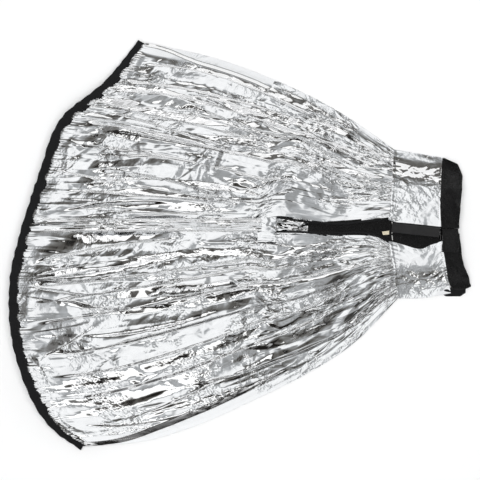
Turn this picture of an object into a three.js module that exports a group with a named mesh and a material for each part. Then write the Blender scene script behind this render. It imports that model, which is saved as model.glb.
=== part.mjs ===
// Collapsible reflective sleeve for an umbrella light, laid flat.
//
// A flared tube of thin aluminised film lies collapsed on a table: a wide hem gathered by elastic
// inside a black tape binding, a body that narrows to a sewn yoke, and a black waistband that closes
// with a hook-and-loop tab. A slit runs from the waistband into the body. A black underlap backs it,
// and a hook-and-loop flap closes it in the yoke.
//
// Frame: millimetres, +Z up, +X from the wide hem to the waistband, origin at the centre of the
// footprint, on the table.
import * as THREE from 'three';

// ---- driving dimensions ----------------------------------------------------------------------

const FILM = 1.5; // crinkled film, as thick as its creases lie
const TAPE = 1.2; // binding tape and hook or loop tape
const BAND = 2.0; // doubled waistband
const CLOTH = 1.6; // underlap and flap
const THREAD = 0.7; // a line of stitching, height
const THREAD_WIDTH = 1.4;
const GAP = 0.3; // between faces that touch
const SEAM_GAP = 0.5; // half of the space between panels that meet at a seam
const DRAPE_GAP = 0.9; // between layers that follow the same curved surface

const BINDING_WIDTH = 26; // hem binding, outer fold to inner edge
const BINDING_FILM_INSET = 11.5; // outer fold to the film's edge inside the binding
const ELASTIC_WIDTH = 6;
const HEM_GAP = 0.9; // film to the legs of the front binding

const CENTRE_Y = 55; // the centre line, from the hem to the slit
const CENTRE_BAND_WIDTH = 32;
const SLIT_START_X = 60; // where the two front panels part
const SLIT_BINDING = 5;

// Height of the front film above the table: how far it stands over its own side edges.
const HEM_RISE = 28;
const BODY_RISE = 55;
const YOKE_RISE = 23;
const EDGE_TOP = 4.8; // top of the front film along the side edges
const HEM_EDGE_TOP = 10.2; // the same where the bindings lie on each other
const YOKE_RADIUS = 430; // from the apex: the yoke's plateau ends
const BODY_RADIUS = 720; // from the apex: the body's full height is reached
const HEM_SLOPE = 260; // from the hem: the body's full height is reached
const BODY_RAMP = 200; // from a side edge to the full height, in the body
const YOKE_RAMP = 80; // the same in the yoke
const FLAT_EDGE = 6; // strip along the side edges that lies flat

// ---- plan outlines ---------------------------------------------------------------------------

const spline = (points) => new THREE.SplineCurve(points.map(([x, y]) => new THREE.Vector2(x, y)));

const between = (a, b, t) => [a[0] + t * (b[0] - a[0]), a[1] + t * (b[1] - a[1])];

// Points of an edge between two corners, bulging to the left of its direction by a height. More
// fullness squares the bulge.
function bowed(from, to, height, steps, fullness = 2) {
  const [dx, dy] = [to[0] - from[0], to[1] - from[1]];
  return Array.from({ length: steps + 1 }, (_, i) => {
    const [x, y] = between(from, to, i / steps);
    const out = (height * (1 - Math.abs((2 * i) / steps - 1) ** fullness)) / Math.hypot(dx, dy);
    return [x - out * dy, y + out * dx];
  });
}

// The sleeve is a cone laid flat. Its side edges run towards an apex past the waistband, and each
// corner is a distance and an angle in degrees from there.
const APEX = { x: 775, y: 80 };

function fromApex(radius, degrees) {
  const angle = THREE.MathUtils.degToRad(degrees);
  return [APEX.x - radius * Math.cos(angle), APEX.y + radius * Math.sin(angle)];
}

const HEM_RADIUS = 1335;
const HEM_PULL = 220; // how far the rumpled film draws the upper corner of the hem in
const HEM_TOP = fromApex(HEM_RADIUS - HEM_PULL, 23);
const HEM_DIP = 25; // how far the hem is drawn in at the centre line
const HEM_MIDDLE = [APEX.x - HEM_RADIUS + HEM_DIP, CENTRE_Y];
const HEM_SAG = 28; // how far the lower half of the hem hangs out before its last turn
const HEM_LOW = fromApex(HEM_RADIUS + HEM_SAG, -20.3);
const HEM_BOTTOM = fromApex(HEM_RADIUS - HEM_SAG, -26.5);
const YOKE_TOP = fromApex(423, 22.7);
const YOKE_BOTTOM = fromApex(434, -28.5);
const BAND_TOP = fromApex(305, 28);
const BAND_BOTTOM = fromApex(315, -38);

// Outer fold of the hem binding, from the top corner to the bottom corner. The upper half has a
// shoulder half-way, with a shallow hollow above it. The lower half is a long round stretch, and then
// a short one that turns in to the bottom corner.
const HEM_SHOULDER = bowed(HEM_TOP, HEM_MIDDLE, -57, 2)[1];
const hemUpper = spline([
  ...bowed(HEM_TOP, HEM_SHOULDER, 14, 2), ...bowed(HEM_SHOULDER, HEM_MIDDLE, -4, 2).slice(1),
]);
const hemLower = spline([
  ...bowed(HEM_MIDDLE, HEM_LOW, -48, 4), ...bowed(HEM_LOW, HEM_BOTTOM, -12, 2).slice(1),
]);

// Side edges of the body between two corners, and of the whole tube, past the waistband.
const topEdge = (from, to) => bowed(from, to, 44, 4, 2.2);
const bottomEdge = (from, to) => bowed(from, to, -77, 6, 3);
const PAST_BAND = 1.4; // shares of the yoke's side
const sideTop = spline([...topEdge(HEM_TOP, YOKE_TOP), BAND_TOP, between(YOKE_TOP, BAND_TOP, PAST_BAND)]);
const sideBottom = spline([
  ...bottomEdge(HEM_BOTTOM, YOKE_BOTTOM), BAND_BOTTOM, between(YOKE_BOTTOM, BAND_BOTTOM, PAST_BAND),
]);

// The slit: where it is, its middle and its width, from its inner end to the yoke seam.
const YOKE_SEAM_X = 370;
const slitStations = [
  { x: 90, middle: 56, width: 30 },
  { x: 230, middle: 47, width: 16 },
  { x: 320, middle: 50, width: 26 },
  { x: YOKE_SEAM_X, middle: 42, width: 52 },
];
const slitEdge = (side) => slitStations.map(({ x, middle, width }) => [x, middle + (side * width) / 2]);
const slitUpper = slitEdge(1);
const slitLower = slitEdge(-1);
const SLIT_UPPER_AT_YOKE = slitUpper.at(-1);
const SLIT_LOWER_AT_YOKE = slitLower.at(-1);

// Yoke seam, in its stretch above the slit and its stretch below.
const seamStretch = (from, to) => bowed(from, to, 0, 2);
const yokeUpper = seamStretch(YOKE_TOP, SLIT_UPPER_AT_YOKE);
const yokeLower = seamStretch(SLIT_LOWER_AT_YOKE, YOKE_BOTTOM);

// The flap is straight. It turns about its upper edge, from its outer corner to the waistband.
const FLAP_START = [YOKE_SEAM_X + 7, 61];
const FLAP_SLOPE = THREE.MathUtils.degToRad(6);
const FLAP_LENGTH = 119;
const FLAP_WIDTH = 24;
const FLAP_CLEARANCE = 2.8; // film above the flap to the flap's hinge line

// A plan point of the flap: along its hinge line, and across from it.
function flapPoint(along, across) {
  const [cos, sin] = [Math.cos(FLAP_SLOPE), Math.sin(FLAP_SLOPE)];
  return [FLAP_START[0] + along * cos - across * sin, FLAP_START[1] - along * sin - across * cos];
}

const flapRoot = [
  SLIT_UPPER_AT_YOKE, ...[3, 50, FLAP_LENGTH + 4].map((along) => flapPoint(along, -FLAP_CLEARANCE)),
];
// Film edge below the flap: down to a low corner, then up to the waistband.
const PLACKET_LOW = [445, -4];
const PLACKET_END = [500, 16];
const placketFoot = [
  SLIT_LOWER_AT_YOKE, between(SLIT_LOWER_AT_YOKE, PLACKET_LOW, 0.4), PLACKET_LOW,
  between(PLACKET_LOW, PLACKET_END, 0.5), PLACKET_END,
];

// Inner and outer edge of the waistband, from its top fold to its bottom fold.
const BAND_BOW = 18;
const BAND_TIP = [BAND_TOP[0] + 36, BAND_TOP[1] - 16]; // the band's end is cut aslant, then rounded
const BAND_ROUND = [BAND_TIP[0] + 11, BAND_TIP[1] - 35];
const bandInner = spline(bowed(BAND_TOP, BAND_BOTTOM, -BAND_BOW, 5));
const bandOuter = spline([
  BAND_TIP, ...bowed(BAND_ROUND, [BAND_BOTTOM[0] + 44, BAND_BOTTOM[1]], -BAND_BOW, 5),
]);

const shifted = (points, dx, dy = 0) => points.map(([x, y]) => [x + dx, y + dy]);
const toPairs = (vectors) => vectors.map((p) => [p.x, p.y]);

// ---- height of the front film ----------------------------------------------------------------

const EDGE_SAMPLES = 160;
const sidePoints = [...sideTop.getPoints(EDGE_SAMPLES), ...sideBottom.getPoints(EDGE_SAMPLES)];
const hemPoints = [...hemUpper.getPoints(EDGE_SAMPLES), ...hemLower.getPoints(EDGE_SAMPLES)];

function distanceTo(points, x, y) {
  let nearest = Infinity;
  for (const p of points) nearest = Math.min(nearest, Math.hypot(p.x - x, p.y - y));
  return nearest;
}

const { smoothstep, lerp } = THREE.MathUtils;

// Top of the front film at a point of the plan: a plateau that falls to the side edges, to the hem
// and to the yoke.
function filmTop(x, y) {
  const toHem = distanceTo(hemPoints, x, y);
  const toSide = distanceTo(sidePoints, x, y);
  const radius = Math.hypot(APEX.x - x, APEX.y - y);
  const bodyShare = smoothstep(radius, YOKE_RADIUS, BODY_RADIUS);
  const innerRise = lerp(YOKE_RISE, BODY_RISE, bodyShare);
  const rise = lerp(HEM_RISE, innerRise, smoothstep(toHem, 0, HEM_SLOPE));
  const ramp = lerp(YOKE_RAMP, BODY_RAMP, bodyShare);
  const edge = lerp(HEM_EDGE_TOP, EDGE_TOP, smoothstep(toHem, BINDING_WIDTH, 4 * BINDING_WIDTH));
  return edge + rise * smoothstep(toSide, FLAT_EDGE, ramp);
}

// ---- solids ----------------------------------------------------------------------------------

function geometryFrom(positions, triangles) {
  const geometry = new THREE.BufferGeometry();
  geometry.setAttribute('position', new THREE.Float32BufferAttribute(positions, 3));
  geometry.setIndex(triangles);
  geometry.computeVertexNormals();
  return geometry;
}

// Six times the enclosed volume: negative when the faces point inwards.
function signedVolume(positions, triangles) {
  const at = (i) => new THREE.Vector3(positions[3 * i], positions[3 * i + 1], positions[3 * i + 2]);
  let sum = 0;
  for (let i = 0; i < triangles.length; i += 3) {
    const [a, b, c] = [at(triangles[i]), at(triangles[i + 1]), at(triangles[i + 2])];
    sum += a.dot(b.cross(c));
  }
  return sum;
}

function closedSolid(positions, triangles) {
  if (signedVolume(positions, triangles) > 0) return geometryFrom(positions, triangles);
  const turned = [];
  for (let i = 0; i < triangles.length; i += 3) turned.push(triangles[i], triangles[i + 2], triangles[i + 1]);
  return geometryFrom(positions, turned);
}

// A closed slab over a grid: rows by columns of [x, y, top, under].
function gridSlab(rows) {
  const columns = rows[0].length;
  const count = rows.length * columns;
  const positions = [];
  for (const row of rows) for (const [x, y, top] of row) positions.push(x, y, top);
  for (const row of rows) for (const [x, y, , under] of row) positions.push(x, y, under);
  const triangles = [];
  const quad = (a, b, c, d) => triangles.push(a, b, c, a, c, d);
  for (let i = 0; i + 1 < rows.length; i++) {
    for (let j = 0; j + 1 < columns; j++) {
      const a = i * columns + j;
      quad(a, a + columns, a + columns + 1, a + 1);
      quad(a + count, a + count + 1, a + count + columns + 1, a + count + columns);
    }
  }
  const rim = [];
  for (let j = 0; j < columns; j++) rim.push(j);
  for (let i = 1; i < rows.length; i++) rim.push(i * columns + columns - 1);
  for (let j = columns - 2; j >= 0; j--) rim.push((rows.length - 1) * columns + j);
  for (let i = rows.length - 2; i > 0; i--) rim.push(i * columns);
  rim.forEach((a, k) => {
    const b = rim[(k + 1) % rim.length];
    quad(a, b, b + count, a + count);
  });
  return closedSolid(positions, triangles);
}

// A closed bar: stations along its length, each with the same number of [x, y, z] section points.
function sectionBar(stations) {
  const sides = stations[0].length;
  const positions = stations.flat(2);
  const triangles = [];
  for (let i = 0; i + 1 < stations.length; i++) {
    for (let j = 0; j < sides; j++) {
      const next = (j + 1) % sides;
      const [a, b] = [i * sides + j, i * sides + next];
      triangles.push(a, b, b + sides, a, b + sides, a + sides);
    }
  }
  return { positions, triangles, sides, last: (stations.length - 1) * sides };
}

// The bar's two ends closed by triangles over its section, given as [width, height] pairs.
function cappedBar(stations, section) {
  const { positions, triangles, last } = sectionBar(stations);
  const contour = section.map(([w, h]) => new THREE.Vector2(w, h));
  const sameWay = THREE.ShapeUtils.area(contour) > 0;
  for (const [a, b, c] of THREE.ShapeUtils.triangulateShape(contour, [])) {
    const [p, q] = sameWay ? [b, c] : [c, b];
    triangles.push(a, q, p, a + last, p + last, q + last);
  }
  return closedSolid(positions, triangles);
}

// Plan patch between a left and a right curve, joined by an upper and a lower curve (a Coons patch).
function planPatch(left, right, upper, lower) {
  return (u, v) => {
    const [l, r, t, b] = [left(v), right(v), upper(u), lower(u)];
    const corners = [left(0), left(1), right(0), right(1)];
    const mix = (axis) =>
      (1 - u) * l[axis] + u * r[axis] + (1 - v) * t[axis] + v * b[axis]
      - (1 - u) * (1 - v) * corners[0][axis] - (1 - u) * v * corners[1][axis]
      - u * (1 - v) * corners[2][axis] - u * v * corners[3][axis];
    return [mix('x'), mix('y')];
  };
}

const along = (points) => {
  const curve = spline(points);
  return (t) => curve.getPointAt(THREE.MathUtils.clamp(t, 0, 1));
};

// Film or cloth that follows the front surface, lifted by an offset.
function drapedSheet(patch, steps, offset, thickness) {
  const [nu, nv] = steps;
  const rows = [];
  for (let i = 0; i <= nu; i++) {
    const row = [];
    for (let j = 0; j <= nv; j++) {
      const [x, y] = patch(i / nu, j / nv);
      const top = filmTop(x, y) + offset;
      row.push([x, y, top, top - thickness]);
    }
    rows.push(row);
  }
  return gridSlab(rows);
}

// A flat piece cut to an outline, from one height to another.
function flatPiece(outline, bottom, top) {
  const shape = new THREE.Shape(outline.map(([x, y]) => new THREE.Vector2(x, y)));
  const geometry = new THREE.ExtrudeGeometry(shape, { depth: top - bottom, bevelEnabled: false });
  return geometry.translate(0, 0, bottom);
}

// A curve moved sideways by a distance, to the right of its direction when the distance is positive.
function offsetPoints(curve, distance, count) {
  const points = [];
  for (let i = 0; i <= count; i++) {
    const at = curve.getPointAt(i / count);
    const way = curve.getTangentAt(i / count);
    points.push([at.x - way.y * distance, at.y + way.x * distance]);
  }
  return points;
}

// A narrow strip that lies along a plan curve, on the front film or at a fixed height.
function layStrip(points, width, steps, heightAt, thickness) {
  const curve = spline(points);
  const rows = [];
  for (let i = 0; i <= steps; i++) {
    const at = curve.getPointAt(i / steps);
    const way = curve.getTangentAt(i / steps);
    const row = [-width / 2, width / 2].map((side) => {
      const [x, y] = [at.x - way.y * side, at.y + way.x * side];
      const bottom = heightAt(x, y);
      return [x, y, bottom + thickness, bottom];
    });
    rows.push(row);
  }
  return gridSlab(rows);
}

const onFilm = (x, y) => filmTop(x, y) + DRAPE_GAP;

// ---- materials -------------------------------------------------------------------------------

const LOOKS = {
  film: { color: 0xd9dcdf, roughness: 0.2, metalness: 0.95 },
  black: { color: 0x17171a, roughness: 0.85, metalness: 0 },
  hook: { color: 0x1f1f22, roughness: 0.95, metalness: 0 },
  elastic: { color: 0xe8e6df, roughness: 0.9, metalness: 0 },
  thread: { color: 0xb9bbbd, roughness: 0.7, metalness: 0 },
  blackThread: { color: 0x101012, roughness: 0.8, metalness: 0 },
  label: { color: 0xd8d0b8, roughness: 0.8, metalness: 0 },
};

const part = new THREE.Group();

function addPiece(name, geometry, look) {
  const mesh = new THREE.Mesh(geometry, new THREE.MeshStandardMaterial(LOOKS[look]));
  mesh.name = name;
  part.add(mesh);
}

// ---- body film -------------------------------------------------------------------------------

const HEM_STATIONS = 22; // along each half of the hem
const BODY_STEPS = 26; // from the hem to the yoke

const filmHemUpper = offsetPoints(hemUpper, BINDING_FILM_INSET, HEM_STATIONS);
const filmHemLower = offsetPoints(hemLower, BINDING_FILM_INSET, HEM_STATIONS);
const centreAtHemX = filmHemUpper.at(-1)[0];

const beforeSeam = ([x, y]) => [x - SEAM_GAP, y];
const afterSeam = ([x, y]) => [x + SEAM_GAP, y];
const bodySideTop = topEdge(filmHemUpper[0], beforeSeam(YOKE_TOP));
const bodySideBottom = bottomEdge(filmHemLower.at(-1), beforeSeam(YOKE_BOTTOM));

function centreEdge(slit, side, inset) {
  const edge = shifted(slit, 0, side * inset);
  const seam = CENTRE_Y + side * 2;
  return [
    [centreAtHemX, seam], [-250, seam], [-60, seam], [SLIT_START_X - 30, seam],
    ...edge.slice(0, -1), beforeSeam(edge.at(-1)),
  ];
}

const BINDING_SEAM = 1.2; // film's edge to the tape that binds it
const upperCentreEdge = centreEdge(slitUpper, 1, SLIT_BINDING + BINDING_SEAM);
const lowerCentreEdge = centreEdge(slitLower, -1, SLIT_BINDING + BINDING_SEAM);

const frontUpper = planPatch(
  along([...filmHemUpper.slice(0, -1), upperCentreEdge[0]]),
  along([bodySideTop.at(-1), beforeSeam(yokeUpper[1]), upperCentreEdge.at(-1)]),
  along(bodySideTop), along(upperCentreEdge),
);
const frontLower = planPatch(
  along([lowerCentreEdge[0], ...filmHemLower.slice(1)]),
  along([lowerCentreEdge.at(-1), beforeSeam(yokeLower[1]), bodySideBottom.at(-1)]),
  along(lowerCentreEdge), along(bodySideBottom),
);
addPiece('front_upper_panel', drapedSheet(frontUpper, [BODY_STEPS, HEM_STATIONS], 0, FILM), 'film');
addPiece('front_lower_panel', drapedSheet(frontLower, [BODY_STEPS, HEM_STATIONS], 0, FILM), 'film');

const BACK_BOTTOM = TAPE + GAP; // the back film lies on the lower leg of its binding
const BACK_TOP = BACK_BOTTOM + FILM;
const acrossSlit = between(SLIT_UPPER_AT_YOKE, SLIT_LOWER_AT_YOKE, 0.5);
const backYoke = [...yokeUpper.slice(0, -1), acrossSlit, ...yokeLower.slice(1)];
const backPanelOutline = [
  ...filmHemUpper, ...filmHemLower.slice(1),
  ...toPairs(spline(bodySideBottom).getPoints(16)).slice(1),
  ...toPairs(spline(shifted(backYoke, -SEAM_GAP)).getPoints(10)).reverse().slice(1),
  ...toPairs(spline(bodySideTop).getPoints(14)).reverse().slice(1, -1),
];
addPiece('back_panel', flatPiece(backPanelOutline, BACK_BOTTOM, BACK_TOP), 'film');

// Smooth lapped band along the centre line, from the hem binding to the slit.
const CENTRE_BAND_MARGIN = 8; // clear of the binding, which crosses the band aslant
const centreBandStart = centreAtHemX + BINDING_WIDTH + CENTRE_BAND_MARGIN;
const centreLine = (dy) => [
  [centreBandStart, CENTRE_Y + dy], [-250, CENTRE_Y + dy], [SLIT_START_X - 6, CENTRE_Y + dy],
];
addPiece('centre_seam_band', layStrip(centreLine(0), CENTRE_BAND_WIDTH, BODY_STEPS, onFilm, FILM), 'film');

// ---- yoke ------------------------------------------------------------------------------------

const bandInnerPoint = (t) => {
  const p = bandInner.getPointAt(t);
  return [p.x - SEAM_GAP, p.y];
};

// Share of an edge's length at which it reaches a height in the plan, going down.
function shareAt(curve, y) {
  let [low, high] = [0, 1];
  for (let i = 0; i < 30; i++) {
    const middle = (low + high) / 2;
    if (curve.getPointAt(middle).y > y) low = middle;
    else high = middle;
  }
  return (low + high) / 2;
}

const bandShareAt = (y) => shareAt(bandInner, y);

const flapShare = bandShareAt(flapRoot.at(-1)[1]);
const footShare = bandShareAt(PLACKET_END[1]);
const bandStretch = (from, to, count) =>
  Array.from({ length: count + 1 }, (_, i) => bandInnerPoint(lerp(from, to, i / count)));
const waistUpper = bandStretch(0, flapShare, 6);
const waistLower = bandStretch(footShare, 1, 6);

const YOKE_SAG = 5; // the yoke's lower edge bulges a little
const yokeSideTop = bowed(afterSeam(YOKE_TOP), waistUpper[0], 0, 2);
const yokeSideBottom = bowed(afterSeam(YOKE_BOTTOM), waistLower.at(-1), -YOKE_SAG, 2);
const flapRootEdge = [afterSeam(flapRoot[0]), ...flapRoot.slice(1, -1), waistUpper.at(-1)];
const footEdge = [afterSeam(placketFoot[0]), ...placketFoot.slice(1, -1), waistLower[0]];

const yokeFrontUpper = planPatch(
  along([yokeSideTop[0], afterSeam(yokeUpper[1]), flapRootEdge[0]]), along(waistUpper),
  along(yokeSideTop), along(flapRootEdge),
);
const yokeFrontLower = planPatch(
  along([footEdge[0], afterSeam(yokeLower[1]), yokeSideBottom[0]]), along(waistLower),
  along(footEdge), along(yokeSideBottom),
);
addPiece('yoke_front_upper', drapedSheet(yokeFrontUpper, [8, 14], 0, FILM), 'film');
addPiece('yoke_front_lower', drapedSheet(yokeFrontLower, [8, 10], 0, FILM), 'film');

const yokeBackOutline = [
  ...toPairs(spline(shifted(backYoke, SEAM_GAP)).getPoints(10)),
  ...toPairs(spline(yokeSideBottom).getPoints(4)).slice(1),
  ...bandStretch(0, 1, 12).reverse().slice(1),
  ...toPairs(spline(yokeSideTop).getPoints(4)).reverse().slice(1, -1),
];
addPiece('yoke_back', flatPiece(yokeBackOutline, BACK_BOTTOM, BACK_TOP), 'film');

// ---- hem binding -----------------------------------------------------------------------------

// U-shaped section of the binding: [distance in from the outer fold, height over the film's middle].
function bindingSection(clearance) {
  const inner = FILM / 2 + clearance;
  const outer = inner + TAPE;
  return [
    [0.8, outer], [BINDING_WIDTH, outer], [BINDING_WIDTH, inner], [TAPE, inner],
    [TAPE, -inner], [BINDING_WIDTH, -inner], [BINDING_WIDTH, -outer], [0.8, -outer], [0, 0],
  ];
}

function hemBar(section, middleAt) {
  const stations = [];
  const halves = [hemUpper, hemLower];
  halves.forEach((half, side) => {
    for (let i = side; i <= HEM_STATIONS; i++) {
      const at = half.getPointAt(i / HEM_STATIONS);
      const way = half.getTangentAt(i / HEM_STATIONS);
      stations.push(section.map(([w, h]) => {
        const [x, y] = [at.x - way.y * w, at.y + way.x * w];
        return [x, y, middleAt(x, y) + h];
      }));
    }
  });
  return cappedBar(stations, section);
}

const frontMiddle = (x, y) => filmTop(x, y) - FILM / 2;
const backMiddle = () => (BACK_BOTTOM + BACK_TOP) / 2;
const barSection = (from, to, bottom, top) => [[from, bottom], [to, bottom], [to, top], [from, top]];
const elasticSection = barSection(
  TAPE + SEAM_GAP, TAPE + SEAM_GAP + ELASTIC_WIDTH, -FILM / 2 + 0.1, FILM / 2 - 0.1,
);

addPiece('hem_binding_front', hemBar(bindingSection(HEM_GAP), frontMiddle), 'black');
addPiece('hem_binding_back', hemBar(bindingSection(GAP), backMiddle), 'black');
addPiece('hem_elastic_front', hemBar(elasticSection, frontMiddle), 'elastic');
addPiece('hem_elastic_back', hemBar(elasticSection, backMiddle), 'elastic');

function hemStitching(clearance) {
  const bottom = FILM / 2 + clearance + TAPE + GAP;
  const inset = BINDING_WIDTH - 5;
  return barSection(inset, inset + THREAD_WIDTH, bottom, bottom + THREAD);
}
addPiece('hem_stitching_front', hemBar(hemStitching(HEM_GAP), frontMiddle), 'blackThread');
addPiece('hem_stitching_back', hemBar(hemStitching(GAP), backMiddle), 'blackThread');

// ---- waistband -------------------------------------------------------------------------------

const TAB_ROOT_Y = 46; // where the overlapping tab leaves the upper end of the band
const TAB_END_Y = -12;
const LOWER_END_Y = 34; // end of the band below the tab

// A plan point of the band: share of its length, and share of its width from the inner edge.
function bandPoint(share, width) {
  const inner = bandInner.getPointAt(share);
  const outer = bandOuter.getPointAt(outerShare(share));
  return [lerp(inner.x, outer.x, width), lerp(inner.y, outer.y, width)];
}

// Share of the outer edge across from a share of the inner edge, square at the band's two ends.
function outerShare(share) {
  const knots = [0, bandShareAt(TAB_ROOT_Y), bandShareAt(LOWER_END_Y), 1];
  const values = [0, shareAt(bandOuter, TAB_ROOT_Y), shareAt(bandOuter, LOWER_END_Y), 1];
  const i = share < knots[1] ? 0 : share < knots[2] ? 1 : 2;
  return THREE.MathUtils.mapLinear(share, knots[i], knots[i + 1], values[i], values[i + 1]);
}

const bandFrontTop = (share) => {
  const inner = bandInner.getPointAt(share);
  return filmTop(inner.x, inner.y);
};

// The band is one strip: front from the tab up to the top fold, back, front up to its lower end.
function waistbandGeometry() {
  const path = [];
  const front = (share) => path.push({ share, z: bandFrontTop(share) - BAND / 2 });
  const back = (share) => path.push({ share, z: BAND / 2 });
  const rootShare = bandShareAt(TAB_ROOT_Y);
  const endShare = bandShareAt(LOWER_END_Y);
  const [upperSteps, lowerSteps, backSteps] = [12, 12, 10];
  for (let i = 0; i <= upperSteps; i++) front(rootShare * (1 - i / upperSteps));
  for (let i = 0; i <= backSteps; i++) back(i / backSteps);
  for (let i = 0; i <= lowerSteps; i++) front(lerp(1, endShare, i / lowerSteps));
  const section = (at, index) => {
    const before = path[Math.max(index - 1, 0)];
    const after = path[Math.min(index + 1, path.length - 1)];
    const [ya, yb] = [bandPoint(before.share, 0)[1], bandPoint(after.share, 0)[1]];
    const normal = new THREE.Vector2(after.z - before.z, ya - yb).normalize().multiplyScalar(BAND / 2);
    return [[0, 1], [1, 1], [1, -1], [0, -1]].map(([width, face]) => {
      const [x, y] = bandPoint(at.share, width);
      return [x, y + face * normal.x, at.z + face * normal.y];
    });
  };
  return cappedBar(path.map(section), [[0, 1], [1, 1], [1, -1], [0, -1]]);
}
addPiece('waistband', waistbandGeometry(), 'black');

const BAND_LEFT = 500.5; // straight stretch of the band at the slit
const BAND_RIGHT = 540;
const bandTop = bandFrontTop(bandShareAt(TAB_ROOT_Y));

// A prism along X over an outline of [y, z] pairs.
function prismAlongX(outline, from, to) {
  const shape = new THREE.Shape(outline.map(([y, z]) => new THREE.Vector2(y, z)));
  const geometry = new THREE.ExtrudeGeometry(shape, { depth: to - from, bevelEnabled: false });
  geometry.applyMatrix4(new THREE.Matrix4().makeBasis(
    new THREE.Vector3(0, 1, 0), new THREE.Vector3(0, 0, 1), new THREE.Vector3(1, 0, 0),
  ));
  return geometry.translate(from, 0, 0);
}

const loopBottom = bandTop + GAP;
const hookBottom = loopBottom + TAPE + GAP;
const tabBottom = hookBottom + TAPE + GAP;
const PATCH_TOP_Y = 28;
const PATCH_INSET = 5;

// The tab steps up from the band over its own patches and lies flat to its end.
const tabOutline = [
  [TAB_ROOT_Y - GAP, bandTop - BAND], [TAB_ROOT_Y - GAP, bandTop], [PATCH_TOP_Y + 3, tabBottom + BAND],
  [TAB_END_Y, tabBottom + BAND], [TAB_END_Y, tabBottom], [PATCH_TOP_Y + 4, tabBottom],
  [LOWER_END_Y + 6, bandTop - BAND + 0.6],
];
addPiece('waistband_tab', prismAlongX(tabOutline, BAND_LEFT, BAND_RIGHT), 'black');

function patchPiece(bottom) {
  const [end, top] = [TAB_END_Y + 3, bottom + TAPE];
  const outline = [[end, bottom], [PATCH_TOP_Y, bottom], [PATCH_TOP_Y, top], [end, top]];
  return prismAlongX(outline, BAND_LEFT + PATCH_INSET, BAND_RIGHT - PATCH_INSET);
}
addPiece('waistband_loop_patch', patchPiece(loopBottom), 'hook');
addPiece('waistband_tab_hook_patch', patchPiece(hookBottom), 'hook');

// ---- slit: bound edges, underlap and flap ----------------------------------------------------

// Tape along an edge of the slit, level with the film that it binds.
function slitBinding(edge, side) {
  const middle = shifted(edge, 0, side * SLIT_BINDING / 2);
  middle[3][0] -= 2;
  return layStrip(middle, SLIT_BINDING, 14, (x, y) => filmTop(x, y) - FILM, FILM + 0.4);
}
addPiece('slit_binding_upper', slitBinding(slitUpper, 1), 'black');
addPiece('slit_binding_lower', slitBinding(slitLower, -1), 'black');

const UNDERLAP_START_X = 168;
const UNDERLAP_LAP = 9; // how far it reaches under the film, each side
const UNDERLAP_END_X = 494;
const UNDERLAP_START_WIDTH = 26;
const underlapEdge = (side, points) => [
  [UNDERLAP_START_X, slitStations[1].middle + (side * UNDERLAP_START_WIDTH) / 2],
  ...shifted(points, 0, side * UNDERLAP_LAP),
];
const underlapEnds = [[UNDERLAP_END_X, flapRoot.at(-1)[1]], [UNDERLAP_END_X, PLACKET_END[1] - 2]];
const underlapUpper = underlapEdge(1, [...slitUpper.slice(1), flapRoot[2], underlapEnds[0]]);
const underlapLower = underlapEdge(-1, [...slitLower.slice(1), PLACKET_LOW, underlapEnds[1]]);
const underlapPatch = planPatch(
  along([underlapUpper[0], underlapLower[0]]), along([underlapUpper.at(-1), underlapLower.at(-1)]),
  along(underlapUpper), along(underlapLower),
);
addPiece('underlap', drapedSheet(underlapPatch, [20, 4], -FILM - DRAPE_GAP, CLOTH), 'black');

const FLAP_TAPE_WIDTH = 16;
const FLAP_TAPE_INSET = 5;

// A flat strip of the placket: inset along the flap's length, and from and to across its width.
function placketStrip(inset, from, to, bottom, thickness) {
  const outline = [
    flapPoint(inset, from), flapPoint(FLAP_LENGTH - inset, from),
    flapPoint(FLAP_LENGTH - inset, to), flapPoint(inset, to),
  ];
  return flatPiece(outline, bottom, bottom + thickness);
}

const placketTop = filmTop(430, 40); // the level plateau of the yoke
const underlapTop = placketTop - FILM - DRAPE_GAP;
const placketLoopBottom = underlapTop + GAP;
const placketHookBottom = placketLoopBottom + TAPE + GAP;
const flapBottom = placketTop + DRAPE_GAP;
const tapeTo = FLAP_TAPE_INSET + FLAP_TAPE_WIDTH;
addPiece('placket_loop_tape', placketStrip(3, FLAP_TAPE_INSET, tapeTo, placketLoopBottom, TAPE), 'hook');
addPiece('placket_hook_tape', placketStrip(3, FLAP_TAPE_INSET, tapeTo, placketHookBottom, TAPE), 'hook');
addPiece('placket_flap', placketStrip(0, 0, FLAP_WIDTH, flapBottom, CLOTH), 'black');

// Blank label caught in the yoke seam, lying on the underlap.
const LABEL_ROOT_X = YOKE_SEAM_X - 0.4;
const LABEL_LENGTH = 20;
const LABEL_LOW_Y = 30;
const LABEL_HIGH_Y = 43;
const LABEL_THICKNESS = 0.7;
const labelOutline = [
  [LABEL_ROOT_X - LABEL_LENGTH, LABEL_LOW_Y], [LABEL_ROOT_X, LABEL_LOW_Y],
  [LABEL_ROOT_X, LABEL_HIGH_Y], [LABEL_ROOT_X - LABEL_LENGTH, LABEL_HIGH_Y],
];
const labelBottom = underlapTop + DRAPE_GAP;
addPiece('care_label', flatPiece(labelOutline, labelBottom, labelBottom + LABEL_THICKNESS), 'label');

// ---- stitching -------------------------------------------------------------------------------

const STITCH_INSET = 5;

function addStitching(name, points, steps, look) {
  addPiece(name, layStrip(points, THREAD_WIDTH, steps, onFilm, THREAD), look);
}

const seamStitch = ([from, , to], start, end) =>
  shifted(seamStretch(between(from, to, start), between(from, to, end)), STITCH_INSET + SEAM_GAP);
addStitching('yoke_stitching_upper', seamStitch(yokeUpper, 0.07, 0.92), 12, 'thread');
addStitching('yoke_stitching_lower', seamStitch(yokeLower, 0.12, 0.94), 8, 'thread');
addStitching('centre_stitching_upper', centreLineStitch(1), BODY_STEPS, 'thread');
addStitching('centre_stitching_lower', centreLineStitch(-1), BODY_STEPS, 'thread');

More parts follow.
